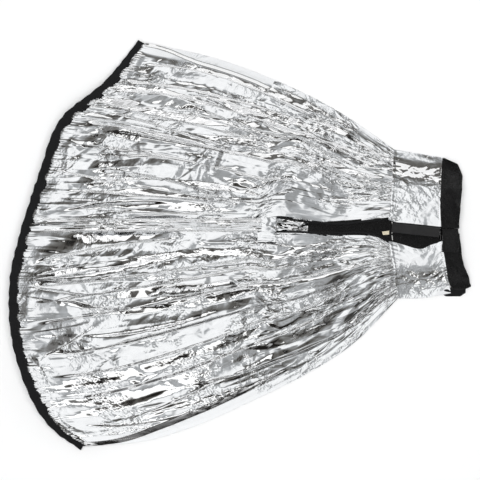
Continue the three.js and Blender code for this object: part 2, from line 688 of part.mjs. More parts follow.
// Stitching just outside the centre band, on the film.
function centreLineStitch(side) {
  return centreLine(side * (CENTRE_BAND_WIDTH / 2 + THREAD_WIDTH));
}

const sideSeam = (curve, inset, from, to) =>
  offsetPoints(curve, inset, 40).slice(from, to);
const SIDE_SEAM_INSET = 12;
addStitching('side_stitching_upper', sideSeam(spline(bodySideTop), -SIDE_SEAM_INSET, 3, 40), 26, 'thread');
addStitching('side_stitching_lower', sideSeam(spline(bodySideBottom), SIDE_SEAM_INSET, 3, 40), 26, 'thread');

const waistStitch = (from, to) => bandStretch(from, to, 8).map(([x, y]) => [x - STITCH_INSET, y]);
const END_MARGIN = 0.06;
addStitching('waist_stitching_upper', waistStitch(END_MARGIN, flapShare - 0.05), 12, 'blackThread');
addStitching('waist_stitching_lower', waistStitch(footShare + 0.03, 1 - END_MARGIN), 10, 'blackThread');

// The frame's origin: the centre of the footprint, on the table.
const bounds = new THREE.Box3().setFromObject(part);
const middle = bounds.getCenter(new THREE.Vector3());
part.position.set(-middle.x, -middle.y, -bounds.min.z);

export default part;
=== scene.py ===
"""Looks for the collapsed reflective sleeve: crinkled silver film, black tapes and placket, laid flat."""

import math
from collections import namedtuple

import bpy
import numpy as np
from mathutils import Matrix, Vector
from mathutils.bvhtree import BVHTree


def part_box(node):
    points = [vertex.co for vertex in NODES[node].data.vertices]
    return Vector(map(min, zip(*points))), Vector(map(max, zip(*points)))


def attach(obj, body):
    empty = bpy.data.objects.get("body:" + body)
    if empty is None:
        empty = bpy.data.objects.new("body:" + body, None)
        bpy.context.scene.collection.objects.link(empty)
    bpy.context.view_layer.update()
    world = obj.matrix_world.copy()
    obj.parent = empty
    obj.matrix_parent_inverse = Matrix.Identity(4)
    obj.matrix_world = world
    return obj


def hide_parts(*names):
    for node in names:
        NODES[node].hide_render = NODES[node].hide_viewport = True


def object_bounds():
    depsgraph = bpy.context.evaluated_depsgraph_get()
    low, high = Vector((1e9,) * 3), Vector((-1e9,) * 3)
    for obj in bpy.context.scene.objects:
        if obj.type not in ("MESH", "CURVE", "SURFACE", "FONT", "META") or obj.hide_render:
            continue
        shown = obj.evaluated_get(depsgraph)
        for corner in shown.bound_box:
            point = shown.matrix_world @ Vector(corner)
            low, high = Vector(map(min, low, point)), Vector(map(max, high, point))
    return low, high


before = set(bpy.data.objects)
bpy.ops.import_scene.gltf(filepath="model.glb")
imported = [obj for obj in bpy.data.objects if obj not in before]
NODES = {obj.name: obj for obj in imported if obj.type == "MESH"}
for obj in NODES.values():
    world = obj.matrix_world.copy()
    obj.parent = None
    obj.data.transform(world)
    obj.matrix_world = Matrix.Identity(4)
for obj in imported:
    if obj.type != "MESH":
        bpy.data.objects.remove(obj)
CAD_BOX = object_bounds()
ROOT = "sleeve"
MM = 0.001
TABLE_CLEARANCE = 0.05 * MM  # lowest height of any cloth or thread


# ---- outlines taken from the CAD sheets ----

def welded(node):
    """The node's vertices without repeats, and its triangles."""
    mesh = NODES[node].data
    mesh.calc_loop_triangles()
    verts = np.array([v.co[:] for v in mesh.vertices])
    keys, index = np.unique(np.round(verts, 5), axis=0, return_inverse=True)
    tris = np.array([t.vertices[:] for t in mesh.loop_triangles])
    return keys, index.reshape(-1)[tris]


def top_loop(node):
    """The outline of the node's upper surface, as points in order."""
    verts, tris = welded(node)
    a, b, c = verts[tris[:, 0]], verts[tris[:, 1]], verts[tris[:, 2]]
    normal = np.cross(b - a, c - a)
    up = normal[:, 2] > 0.3 * np.linalg.norm(normal, axis=1)
    after = {}
    edges = {(int(t[i]), int(t[(i + 1) % 3])) for t in tris[up] for i in range(3)}
    for start, end in edges:
        if (end, start) not in edges:
            after[start] = end
    first = next(iter(after))
    loop = [first]
    while after[loop[-1]] != first:
        loop.append(after[loop[-1]])
    return verts[loop]


def opposite_sides(node):
    """The two pairs of opposite sides of the node's upper surface, split at its four corners."""
    loop = top_loop(node)
    way = np.roll(loop, -1, axis=0)[:, :2] - loop[:, :2]
    angle = np.arctan2(way[:, 1], way[:, 0])
    turn = np.abs((angle - np.roll(angle, 1) + np.pi) % (2 * np.pi) - np.pi)
    corners = sorted(np.argsort(turn)[-4:])
    sides = []
    for start, end in zip(corners, corners[1:] + [corners[0] + len(loop)]):
        sides.append(loop[np.arange(start, end + 1) % len(loop)])
    return (sides[0], sides[2][::-1]), (sides[1], sides[3][::-1])


def four_sides(node):
    """The node's left, right, upper and lower side, each running down or to the right."""
    def sidewaysness(pair):
        apart = pair[1][:, :2].mean(axis=0) - pair[0][:, :2].mean(axis=0)
        return abs(apart[0]) / np.linalg.norm(apart)

    upright, level = sorted(opposite_sides(node), key=sidewaysness, reverse=True)
    left, right = sorted(upright, key=lambda side: side[:, 0].mean())
    lower, upper = sorted(level, key=lambda side: side[:, 1].mean())
    downwards = [side if side[0, 1] > side[-1, 1] else side[::-1] for side in (left, right)]
    rightwards = [side if side[0, 0] < side[-1, 0] else side[::-1] for side in (upper, lower)]
    return (*downwards, *rightwards)


def midline(node):
    """The middle of a long narrow strip's upper surface, as points from one end to the other."""
    one, other = max(opposite_sides(node), key=lambda pair: length_of(pair[0]))
    shares = np.linspace(0, 1, 120)
    return (along(one, shares) + along(other, shares)) / 2


def offset(path, distance):
    """The path moved sideways in the plan, to the right of its direction."""
    way = np.gradient(path[:, :2], axis=0)
    way /= np.linalg.norm(way, axis=1)[:, None]
    moved = path.copy()
    moved[:, 0] += distance * way[:, 1]
    moved[:, 1] -= distance * way[:, 0]
    return moved


def along(points, shares):
    """Points at the given shares of a polyline's length, on a smooth curve through it."""
    length = distances(points)
    slope = np.gradient(points, length, axis=0)
    at = np.clip(shares, 0, 1) * length[-1]
    i = np.clip(np.searchsorted(length, at, side="right") - 1, 0, len(points) - 2)
    span = (length[i + 1] - length[i])[:, None]
    t = ((at - length[i]) / span[:, 0])[:, None]
    h00, h10 = 2 * t**3 - 3 * t**2 + 1, t**3 - 2 * t**2 + t
    h01, h11 = -2 * t**3 + 3 * t**2, t**3 - t**2
    return h00 * points[i] + h10 * span * slope[i] + h01 * points[i + 1] + h11 * span * slope[i + 1]


def length_of(points):
    return float(np.linalg.norm(np.diff(points, axis=0), axis=1).sum())


def distances(points):
    """The length of a polyline up to each of its points."""
    return np.concatenate([[0], np.cumsum(np.linalg.norm(np.diff(points, axis=0), axis=1))])


def patch(sides, us, vs):
    """A grid of plan points, us by vs, between the four sides (a Coons patch)."""
    left, right, upper, lower = (s[:, :2] for s in sides)
    l, r = along(left, vs)[None], along(right, vs)[None]
    t, b = along(upper, us)[:, None], along(lower, us)[:, None]
    u, v = us[:, None, None], vs[None, :, None]
    corners = (
        (1 - u) * (1 - v) * left[0] + (1 - u) * v * left[-1]
        + u * (1 - v) * right[0] + u * v * right[-1]
    )
    return (1 - u) * l + u * r + (1 - v) * t + v * b - corners


def widths(plan):
    """The length of each row of a grid of plan points."""
    return np.linalg.norm(np.diff(plan, axis=1), axis=2).sum(axis=1)[:, None]


def sheet_plan(node, rows, columns):
    """Plan points over a node's outline, with their shares and distances in metres."""
    us, vs = np.linspace(0, 1, rows + 1), np.linspace(0, 1, columns + 1)
    plan = patch(four_sides(node), us, vs)
    u, v = np.meshgrid(us, vs, indexing="ij")
    return plan, u, v, u * length_of(plan[:, columns // 2]), v * widths(plan)


def top_of(surface, x, y):
    """The surface's highest point at a place in the plan, if it has one."""
    return surface.ray_cast(Vector((x, y, 1)), Vector((0, 0, -1)))[0]


def surface_above(node):
    """A function for the height of the node's surface at a place in the plan."""
    verts, tris = welded(node)
    tree = BVHTree.FromPolygons(verts.tolist(), tris.tolist())

    def height(x, y):
        hit = top_of(tree, x, y)
        if hit is None:
            hit = tree.find_nearest(Vector((x, y, 0.02)))[0]
        return hit.z

    return height


def smoothed(values, rows, columns):
    """A grid of values averaged over a number of rows and of columns each way."""
    for reach in (rows, columns):
        window = np.hanning(2 * reach + 3)[1:-1]
        window /= window.sum()
        padded = np.pad(values, ((reach, reach), (0, 0)), mode="reflect", reflect_type="odd")
        values = sum(w * padded[k:k + len(values)] for k, w in enumerate(window)).T
    return values


def sampled(node, plan, step):
    """The node's upper surface over a grid of plan points, read at every few and interpolated."""
    height = surface_above(node)
    rows, columns = (np.unique(np.append(np.arange(0, n, step), n - 1)) for n in plan.shape[:2])
    known = np.array([[height(*plan[i, j]) for j in columns] for i in rows])
    halfway = np.array([np.interp(np.arange(plan.shape[1]), columns, row) for row in known])
    return np.array([np.interp(np.arange(plan.shape[0]), rows, column) for column in halfway.T]).T


def heights(node, plan, step=6):
    """The node's upper surface over a grid of plan points, without the facets of the CAD mesh."""
    reach = min(step, min(plan.shape[:2]) // 3)
    return smoothed(sampled(node, plan, step), reach, reach)


# ---- fields for folds and facets ----

def smoothstep(x, low, high):
    t = np.clip((x - low) / (high - low), 0, 1)
    return t * t * (3 - 2 * t)


def bell(x, middle, width):
    return np.exp(-((x - middle) / width) ** 2)


NOISE_PERIOD = 128  # facets before the noise repeats


def facet_noise(x, y, seed):
    """Noise of flat triangular facets with sharp creases between them, from -1 to 1, one facet a unit.

    Each square of the grid is cut in two along one of its diagonals.
    """
    table = np.random.default_rng(seed).uniform(-1, 1, (NOISE_PERIOD, NOISE_PERIOD))
    i, j = np.floor(x).astype(int), np.floor(y).astype(int)
    fx, fy = x - i, y - j

    def corner(right, up):
        return table[(i + right) % NOISE_PERIOD, (j + up) % NOISE_PERIOD]

    a, b, c, d = corner(0, 0), corner(1, 0), corner(0, 1), corner(1, 1)
    lower_left = a + fx * (b - a) + fy * (c - a)
    upper_right = d + (1 - fx) * (c - d) + (1 - fy) * (b - d)
    falling = np.where(fx + fy <= 1, lower_left, upper_right)
    lower_right = a + fx * (b - a) + fy * (d - b)
    upper_left = a + fy * (c - a) + fx * (d - c)
    rising = np.where(fx >= fy, lower_right, upper_left)
    return np.where((i * 7 + j * 13 + seed) % 3 == 0, rising, falling)


def warped(x, y, seed, reach, scale):
    """Plan coordinates bent by coarser facets, so that creases run irregularly."""
    return (
        x + reach * facet_noise(x / scale, y / scale, seed),
        y + reach * facet_noise(x / scale + 9.3, y / scale + 4.1, seed + 1),
    )


def crumple(x, y, seed, levels):
    """Sum of facet levels, each (facet length, facet width, height)."""
    total = np.zeros_like(x)
    for k, (length, width, height) in enumerate(levels):
        s = seed + 17 * k
        a, b = warped(x / length, y / width, s, 0.75, 2.3)
        ridge = 1 - 2 * np.abs(facet_noise(a + 3.7 * k, b + 1.9 * k, s + 5))
        flat = facet_noise(a * 0.83 + 11, b * 0.83 + 5, s + 9)
        total += height * (0.55 * ridge + 0.75 * flat)
    return total


STEEP_SHARE = 0.3  # of a pleat's width: its steep side
OVERHANG = 0.6  # how far a pleat's crest leans over, in heights


class Fold:
    """A pleat of a panel that leans over its neighbour.

    start and end are shares along and across the panel, and height and width are in mm.
    """

    def __init__(self, start, end, height, width, lean=1, bend=0.0):
        self.start, self.end = start, end
        self.height, self.width = height * MM, width * MM
        self.lean, self.bend = lean, bend

    def relief(self, u, v, across):
        """Height of the pleat over the panel, in metres."""
        t = np.clip((u - self.start[0]) / (self.end[0] - self.start[0]), 0, 1)
        line = self.start[1] + (self.end[1] - self.start[1]) * t + self.bend * 4 * t * (1 - t)
        taper = 0.35 + 0.65 * across / across.max()
        side = self.lean * (v - line) * across / (self.width * taper)
        flank = np.where(side < 0, smoothstep(side, -1.0, 0.0), 1 - smoothstep(side, 0.0, STEEP_SHARE))
        fade = smoothstep(u, self.start[0] - 0.05, self.start[0] + 0.16)
        fade = fade * (1 - smoothstep(u, self.end[0] - 0.12, self.end[0] + 0.02))
        return self.height * flank * fade * taper ** 1.7


def small_folds(seed, count, reach, width, height):
    """Seeded pleats scattered over a panel, nearly along it and leaning either way.

    reach is half their greatest length, as a share of the panel's, and width and height are in mm.
    """
    rng = np.random.default_rng(seed)
    folds = []
    for _ in range(count):
        middle, at = rng.uniform(0, 1, 2)
        half = reach * rng.uniform(0.35, 1.0)
        drift = rng.normal(0, 0.035)
        folds.append(Fold(
            (middle - half, at - drift), (middle + half, at + drift),
            height * rng.uniform(0.35, 1.0), width * rng.uniform(0.5, 1.5),
            rng.choice([-1, 1]), rng.normal(0, 0.015),
        ))
    return folds


def long_pleats(u, v, seed, count, height):
    """Straight-sided pleats over the whole panel, meandering and swelling along it."""
    bend = 0.55 * facet_noise(u * 3.1, v * count / 3, seed)
    bend = bend + 0.2 * facet_noise(u * 8.0, v * count / 2, seed + 1)
    swell = 0.62 + 0.38 * facet_noise(u * 4.3 + 5, v * count / 1.6, seed + 2)
    return height * swell * (zigzag(v * count + bend, seed + 3) - 0.5)


def raise_folds(folds, u, v, across):
    """The folds' summed height, and how far each point leans across the panel."""
    height, shift = np.zeros_like(u), np.zeros_like(u)
    for fold in folds:
        relief = fold.relief(u, v, across)
        height += relief
        shift += fold.lean * OVERHANG * relief ** 2 / fold.height
    return height, shift


ZIGZAG_KNOTS = 4096
KNOTS_BEFORE_ZERO = 200


def zigzag(x, seed):
    """A folded line with random pitch and height, from about 0 to 1, one fold a unit."""
    rng = np.random.default_rng(seed)
    knots = np.cumsum(rng.uniform(0.6, 1.4, ZIGZAG_KNOTS)) - KNOTS_BEFORE_ZERO
    values = np.tile([0.0, 1.0], ZIGZAG_KNOTS // 2) + rng.uniform(-0.5, 0.5, ZIGZAG_KNOTS) * 0.6
    return np.interp(2 * x, knots, values)


# ---- meshes ----

def new_object(name, verts, faces, material):
    """A smooth-shaded object of one material."""
    mesh = bpy.data.meshes.new(name)
    mesh.from_pydata(np.asarray(verts).tolist(), [], faces)
    mesh.validate()
    mesh.polygons.foreach_set("use_smooth", [True] * len(mesh.polygons))
    mesh.materials.append(material)
    piece = bpy.data.objects.new(name, mesh)
    bpy.context.collection.objects.link(piece)
    return piece


def grid_faces(rows, columns, wrap=False):
    """Quads over a grid of points, closed to a tube if it wraps."""
    a = np.arange(rows * columns).reshape(rows, columns)
    if wrap:
        a = np.concatenate([a, a[:, :1]], axis=1)
    return np.stack([a[:-1, :-1], a[1:, :-1], a[1:, 1:], a[:-1, 1:]], axis=-1).reshape(-1, 4)


def grid_object(name, points, material):
    """A single sheet over a grid of points, facing up, with UVs along its rows and columns in metres."""
    faces = grid_faces(*points.shape[:2]).tolist()
    piece = new_object(name, points.reshape(-1, 3), faces, material)
    across = np.linalg.norm(np.diff(points, axis=1), axis=2).mean(axis=0)
    down = np.linalg.norm(np.diff(points, axis=0), axis=2).mean(axis=1)
    s = np.concatenate([[0], np.cumsum(down)])
    t = np.concatenate([[0], np.cumsum(across)])
    uv = np.stack(np.meshgrid(s, t, indexing="ij"), axis=-1).reshape(-1, 2)
    layer = piece.data.uv_layers.new(name="cloth")
    loops = np.empty(len(piece.data.loops), dtype=np.int32)
    piece.data.loops.foreach_get("vertex_index", loops)
    layer.data.foreach_set("uv", uv[loops].reshape(-1).astype(np.float32))
    return piece


def tube_faces(rings, corners):
    """Faces of a tube through rings of points, with a cap at each end."""
    last = (rings - 1) * corners
    caps = [list(range(corners)), list(range(last, last + corners))[::-1]]
    return grid_faces(rings, corners, wrap=True).tolist() + caps


def closed_sheet(name, top, under, material):
    """A closed piece of cloth between two grids of points."""
    rows, columns, _ = top.shape
    count = rows * columns
    upper = grid_faces(rows, columns)
    index = np.arange(count).reshape(rows, columns)
    rim = np.concatenate([index[0, :], index[1:, -1], index[-1, -2::-1], index[-2:0:-1, 0]])
    after = np.roll(rim, -1)
    walls = np.stack([rim, after, after + count, rim + count], axis=1)
    faces = np.concatenate([upper, upper[:, ::-1] + count, walls]).tolist()
    return new_object(name, np.concatenate([top.reshape(-1, 3), under.reshape(-1, 3)]), faces, material)


def thick_sheet(name, top, thickness, material):
    """A closed piece of cloth over a grid of points, with its underside a thickness below."""
    return closed_sheet(name, top, top - np.array([0, 0, thickness]), material)


def declare(piece, nodes, slot, body=ROOT):
    """Hangs the piece on its body's empty and hides the nodes that it stands for. slot is not used."""
    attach(piece, body)
    if nodes:
        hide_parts(*nodes)


# ---- materials ----

def node_material(name):
    """A new material, its node tree and its main shader."""
    material = bpy.data.materials.new(name)
    material.use_nodes = True
    tree = material.node_tree
    return material, tree, tree.nodes["Principled BSDF"]


def add_node(tree, kind, inputs=None, **settings):
    """A shader node with its inputs set to values or linked to other nodes' outputs."""
    node = tree.nodes.new(kind)
    for key, value in settings.items():
        setattr(node, key, value)
    for key, value in (inputs or {}).items():
        if isinstance(value, bpy.types.NodeSocket):
            tree.links.new(value, node.inputs[key])
        else:
            node.inputs[key].default_value = value
    return node


def math_node(tree, operation, a, b=0.0):
    return add_node(tree, "ShaderNodeMath", {0: a, 1: b}, operation=operation).outputs[0]


def noise_node(tree, place, scale, detail=2.0):
    return add_node(tree, "ShaderNodeTexNoise", {"Vector": place, "Scale": scale, "Detail": detail})


def spread_node(tree, value, low, high):
    """A value from 0 to 1 spread from low to high."""
    return add_node(tree, "ShaderNodeMapRange", {"Value": value, "To Min": low, "To Max": high}).outputs[0]


def mix_node(tree, factor, a, b):
    """The colour between a and b, at a factor from 0 to 1."""
    inputs = {"Factor": factor, "A": a, "B": b}
    return add_node(tree, "ShaderNodeMix", inputs, data_type="RGBA").outputs["Result"]


def link_surface(tree, shader, bump, roughness, colour):
    """Gives a shader its bump, from the bump node's inputs, its roughness and its colour."""
    normal = add_node(tree, "ShaderNodeBump", bump).outputs[0]
    for name, value in (("Normal", normal), ("Roughness", roughness), ("Base Color", colour)):
        tree.links.new(value, shader.inputs[name])


FILM_TINT = (0.95, 0.955, 0.96)
FILM_CREASES = ((48, 1.0, 0.7), (130, 0.6, 0.9))  # cells a metre, share of the relief, stretch across
FILM_BUMP = 0.42


def film_material(name, crinkle=1.0):
    """Aluminised film: a soft mirror with patches of fine creases and faint streaks along the cloth."""
    material, tree, shader = node_material(name)
    shader.inputs["Metallic"].default_value = 1.0
    cloth = add_node(tree, "ShaderNodeTexCoord").outputs["UV"]
    patchiness = noise_node(tree, cloth, 9.0).outputs[0]
    patches = add_node(
        tree, "ShaderNodeMapRange", {"Value": patchiness, "From Min": 0.42, "From Max": 0.62})
    height = None
    for scale, share, stretch in FILM_CREASES:
        mapping = add_node(tree, "ShaderNodeMapping", {"Vector": cloth, "Scale": (stretch, 1.0, 1.0)})
        bend = noise_node(tree, mapping.outputs[0], scale * 0.3)
        moved = add_node(
            tree, "ShaderNodeVectorMath", {0: bend.outputs["Color"], "Scale": 1.3 / scale},
            operation="SCALE")
        place = add_node(tree, "ShaderNodeVectorMath", {0: mapping.outputs[0], 1: moved.outputs[0]})
        cells = add_node(
            tree, "ShaderNodeTexVoronoi", {"Vector": place.outputs[0], "Scale": scale},
            feature="DISTANCE_TO_EDGE", voronoi_dimensions="2D")
        level = math_node(tree, "MULTIPLY", cells.outputs["Distance"], share / scale)
        height = level if height is None else math_node(tree, "ADD", height, level)
    height = math_node(tree, "MULTIPLY", height, patches.outputs[0])
    long_way = add_node(tree, "ShaderNodeMapping", {"Vector": cloth, "Scale": (14.0, 420.0, 1.0)})
    streaks = noise_node(tree, long_way.outputs[0], 1.0, 1.0)
    height = math_node(tree, "ADD", height, math_node(tree, "MULTIPLY", streaks.outputs[0], 0.00006))
    bump = {"Height": height, "Strength": FILM_BUMP * crinkle, "Distance": 0.4}
    roughness = spread_node(tree, patchiness, 0.04, 0.11)
    dulled = [c * 0.94 for c in FILM_TINT]
    link_surface(tree, shader, bump, roughness, mix_node(tree, patchiness, (*dulled, 1), (*FILM_TINT, 1)))
    return material


FILM = film_material("silver_film")
CALM_FILM = film_material("silver_film_calm", crinkle=0.12)


# ---- body film ----

BODY_SEED = 4
FILM_FLOOR = 3.4 * MM  # clear of the back film
FILM_TOP = CAD_BOX[1][2] + 10.5 * MM  # as high as any fold may stand

# Main pleats of the upper panel, from its side edge to the centre line.
UPPER_FOLDS = [
    Fold((0.04, 0.12), (0.70, 0.14), 12, 34, -1, -0.02),
    Fold((0.05, 0.28), (0.95, 0.36), 17, 52, -1, -0.02),
    Fold((0.30, 0.22), (0.90, 0.42), 10, 26, 1),
    Fold((0.06, 0.38), (0.55, 0.42), 12, 34, 1),
    Fold((0.05, 0.50), (0.98, 0.62), 18, 54, -1, 0.01),
    Fold((0.12, 0.62), (0.75, 0.74), 12, 40, -1, -0.02),
    Fold((0.15, 0.72), (0.58, 0.86), 16, 44, 1, -0.05),
    Fold((0.04, 0.84), (0.60, 0.88), 10, 34, -1),
]

# Main pleats of the lower panel, from the centre line to its side edge.
LOWER_FOLDS = [
    Fold((0.03, 0.15), (0.45, 0.05), 17, 46, 1, -0.03),
    Fold((0.03, 0.24), (0.85, 0.16), 17, 42, 1, 0.0),
    Fold((0.03, 0.33), (0.80, 0.25), 12, 34, -1),
    Fold((0.03, 0.42), (0.95, 0.33), 18, 46, -1, 0.0),
    Fold((0.06, 0.52), (0.90, 0.42), 18, 50, 1, 0.01),
    Fold((0.05, 0.64), (0.92, 0.52), 8, 30, -1, 0.03),
    Fold((0.08, 0.74), (0.85, 0.66), 13, 44, -1, 0.02),
    Fold((0.40, 0.78), (0.88, 0.82), 16, 50, 1, 0.02),
]


# A fold that stands up beside the flat strip along a panel's side edge: its height, its inner and
# outer distance from the edge, and its share of the panel's length, from the hem.
Roll = namedtuple("Roll", "height start end span")
UPPER_ROLL = Roll(height=2.5 * MM, start=0.020, end=0.029, span=0.6)
LOWER_ROLL = Roll(height=9.9 * MM, start=0.022, end=0.040, span=0.62)

TAPE_OVER_FILM = 14.5 * MM  # how far the hem tape covers the film
SOFT_SHOULDER = 26 * MM  # distance over which the film's height is rounded off towards its side edges
SINK = 0.31  # share of its height by which the loose film lies below the CAD surface
HEM_SETTLES, YOKE_SETTLES = 0.26, 0.15  # distances from the hem and the yoke over which it sinks
LONG_PLEAT_WIDTH, LONG_PLEAT_HEIGHT = 0.048, 11.0 * MM
SMALL_FOLDS = {"count": 30, "reach": 0.26, "width": 26, "height": 6.0}  # of each panel

# Facets of the crumpled film: length, width and height of each level.
WIDE_FACETS = ((0.080, 0.044, 3.9 * MM),)
FINE_FACETS = ((0.036, 0.026, 2.9 * MM), (0.015, 0.012, 0.3 * MM))

# Gathers at a panel's ends: where they start, their height, their pitch and the distance they reach.
GATHERS = (
    ("tape", 1.2 * MM, 0.0068, 0.014),
    ("hem", 1.0 * MM, 0.013, 0.035),
    ("hem", 3.0 * MM, 0.05, 0.12),
    ("yoke", 0.8 * MM, 0.008, 0.02),
    ("yoke", 2.2 * MM, 0.021, 0.09),
)


def panel_base(node, plan, u, across):
    """Height of the CAD panel over a grid of plan points, with its steep sides rounded off."""
    base = smoothed(sampled(node, plan, 10), 12, 12)
    soft = smoothed(base, 1, round(SOFT_SHOULDER / across[-1, 0] * (plan.shape[1] - 1)))
    return base + (soft - base) * smoothstep(u, 0.35, 0.8)


def panel_gathers(v, across, from_hem, from_yoke, seed):
    """Gathers in the film at both ends of a panel, in metres."""
    hem, yoke = v * across[0], v * across[-1]
    starts = {
        "tape": (hem, np.maximum(from_hem - TAPE_OVER_FILM, 0)),
        "hem": (hem, from_hem),
        "yoke": (yoke, from_yoke),
    }
    total = 0
    for k, (start, height, pitch, reach) in enumerate(GATHERS):
        sideways, away = starts[start]
        total = total + height * zigzag(sideways / pitch, seed + k) * np.exp(-away / reach)
    return total


def film_panel(half, main_folds, roll, seed, rows, columns, edge_side):
    """The upper or lower half of the front film, from the hem to the yoke.

    rows and columns are the cells of its grid. edge_side is 0 where v=0 is the panel's side edge,
    and 1 where v=1 is.
    """
    node = f"front_{half}_panel"
    plan, u, v, from_hem, _ = sheet_plan(node, rows, columns)
    across = widths(plan)
    sideways = np.gradient(plan, axis=1)
    sideways /= np.linalg.norm(sideways, axis=2)[..., None]
    base = panel_base(node, plan, u, across)
    from_edge = (v if edge_side == 0 else 1 - v) * across
    from_yoke = from_hem[-1:] - from_hem
    x, y = from_hem, v * across.mean()

    # Pleats, from the main ones to the long shallow ones.
    folds = main_folds + small_folds(seed, **SMALL_FOLDS)
    relief, lean = raise_folds(folds, u, v, across)
    calm = smoothstep(facet_noise(u * 2.6 + 3, v * 3.4, seed + 12), -0.5, 0.5)
    pleats = long_pleats(u, v, seed + 8, round(across.max() / LONG_PLEAT_WIDTH), LONG_PLEAT_HEIGHT)
    pleats = pleats * (0.15 + 0.85 * (across / across.max())) * (0.35 + 0.65 * calm)
    relief += pleats * (1 - 0.6 * np.exp(-from_hem / 0.05)) * (1 - 0.45 * np.exp(-from_yoke / 0.12))

    # Facets of the crumpled film, the fine ones in patches.
    patches = smoothstep(facet_noise(x / 0.11, y / 0.05, seed + 9), -0.1, 0.5)
    facets = crumple(x, y, seed + 2, WIDE_FACETS)
    facets += (0.5 + 0.5 * patches) * crumple(x, y, seed + 20, FINE_FACETS)

    # The roll, which keeps the strip outside it flat and free of gathers.
    stretch = smoothstep(u, 0.0, 0.03) * (1 - smoothstep(u, roll.span - 0.15, roll.span))
    past_roll = stretch * smoothstep(from_edge, roll.end, 1.8 * roll.end)
    past_roll = past_roll + (1 - stretch) * smoothstep(from_edge, 0.01, 0.04)
    open_up = past_roll * (0.25 + 0.75 * smoothstep(across - from_edge, 0.004, 0.04))
    begin = 0.002 + roll.start * smoothstep(u, 0.03, 0.25) + 0.004 * facet_noise(u * 9.0, 0 * u, seed + 14)
    rise = np.clip((from_edge - begin) / (roll.end - roll.start), 0, 1)
    fold_edge = roll.height * rise * (1 - smoothstep(from_edge, roll.end, 4 * roll.end))
    gathers = panel_gathers(v, across, from_hem, from_yoke, seed + 3)
    gathers *= 1 - 0.8 * stretch * (1 - smoothstep(from_edge, 0.9 * roll.end, 1.3 * roll.end))

    inside = smoothstep(from_hem, 0.0, 0.10) * smoothstep(from_yoke, 0.0, 0.06)
    crisp = smoothstep(from_hem, 0.012, 0.04) * smoothstep(from_yoke, 0.0, 0.02)
    crisp = crisp * (1 - 0.35 * np.exp(-from_yoke / 0.15))
    settled = 1 - SINK * smoothstep(from_hem, 0, HEM_SETTLES) * smoothstep(from_yoke, 0, YOKE_SETTLES)
    z = settled * base + relief * open_up * inside + fold_edge * stretch
    z += facets * (0.05 + 0.95 * open_up) * crisp + gathers * smoothstep(from_hem, 0.0, 0.012)
    z = np.minimum(np.where(z < FILM_FLOOR, FILM_FLOOR + 0.06 * facets, z), FILM_TOP)
    plan = plan + sideways * (lean * open_up * inside)[..., None]
    piece = grid_object(f"film_front_{half}", np.dstack([plan, z]), FILM)
    piece.data.materials.append(CALM_FILM)
    strip = (from_edge < roll.end) & (u < roll.span - 0.1)
    piece.data.polygons.foreach_set("material_index", strip[:-1, :-1].reshape(-1).astype(np.int32))
    declare(piece, [node], "film")
    return piece


upper_film = film_panel("upper", UPPER_FOLDS, UPPER_ROLL, BODY_SEED, 290, 340, 0)
lower_film = film_panel("lower", LOWER_FOLDS, LOWER_ROLL, BODY_SEED + 50, 280, 350, 1)


# ---- other film sheets ----

SEAM_LAP = 3 * MM  # the yoke's film lies over the body's along the seam
YOKE_FACETS = ((0.060, 0.046, 0.6 * MM), (0.027, 0.021, 0.5 * MM), (0.012, 0.010, 0.20 * MM))


def yoke_sheet(node, name, seed):
    """Film of the yoke: gathered at the seam, crumpled over its whole face."""
    rows, columns = 150, 190
    plan, u, v, x, y = sheet_plan(node, rows, columns)
    base = smoothed(heights(node, plan), 1, round(SOFT_SHOULDER / y[0, -1] * columns))
    seam = smoothstep(u, 0.0, 0.04) * (1 - smoothstep(u, 0.95, 1.0))
    edges = smoothstep(v, 0.0, 0.05) * (1 - smoothstep(v, 0.95, 1.0))
    facets = crumple(x, y, seed, YOKE_FACETS)
    gathers = 1.0 * MM * zigzag(y / 0.012, seed + 4) * np.exp(-x / 0.014) * smoothstep(x, 0, 0.006)
    z = base - 1.5 * MM + facets * (0.15 + 0.85 * seam * edges) + gathers
    plan[..., 0] -= SEAM_LAP * (1 - smoothstep(x, 0.0, 0.01))
    z += 1.2 * MM * (1 - smoothstep(x, 0.0, 0.008))
    return grid_object(name, np.dstack([plan, np.maximum(z, FILM_FLOOR)]), FILM)


def flat_film(node, name, seed, rows, columns):
    """Film that lies under the sleeve, nearly flat."""
    plan, _, _, x, y = sheet_plan(node, rows, columns)
    facets = crumple(x, y, seed, ((0.15, 0.03, 0.45 * MM), (0.04, 0.015, 0.2 * MM)))
    z = np.clip(2.2 * MM + facets, 0.8 * MM, 3.0 * MM)
    return grid_object(name, np.dstack([plan, z]), FILM)


def centre_band():
    """Lapped band along the centre line: smooth film with long streaks and two raised edges."""
    plan, u, v, x, y = sheet_plan("centre_seam_band", 300, 40)
    base = heights("centre_seam_band", plan)
    pleats = long_pleats(u, v, BODY_SEED + 90, 3, 4.5 * MM)
    facets = crumple(x, y, BODY_SEED + 91, ((0.10, 0.011, 1.3 * MM), (0.03, 0.006, 0.5 * MM)))
    lip = 2.6 * MM * (bell(v, 0.06, 0.05) + bell(v, 0.94, 0.05))
    near_hem = np.exp(-x / 0.03) * 1.6 * MM * zigzag(y / 0.007, BODY_SEED + 92)
    z = 0.80 * base + 3.4 * MM + (pleats + facets) * smoothstep(x, 0, 0.02) + lip + near_hem
    return grid_object("film_centre_band", np.dstack([plan, z]), FILM)


TWIST_LAP = 10 * MM  # under the centre band, and twice as far over the underlap
TWIST_DEPTH = 7 * MM
SLIT_FILM_SHARE = 0.80  # of the binding's height


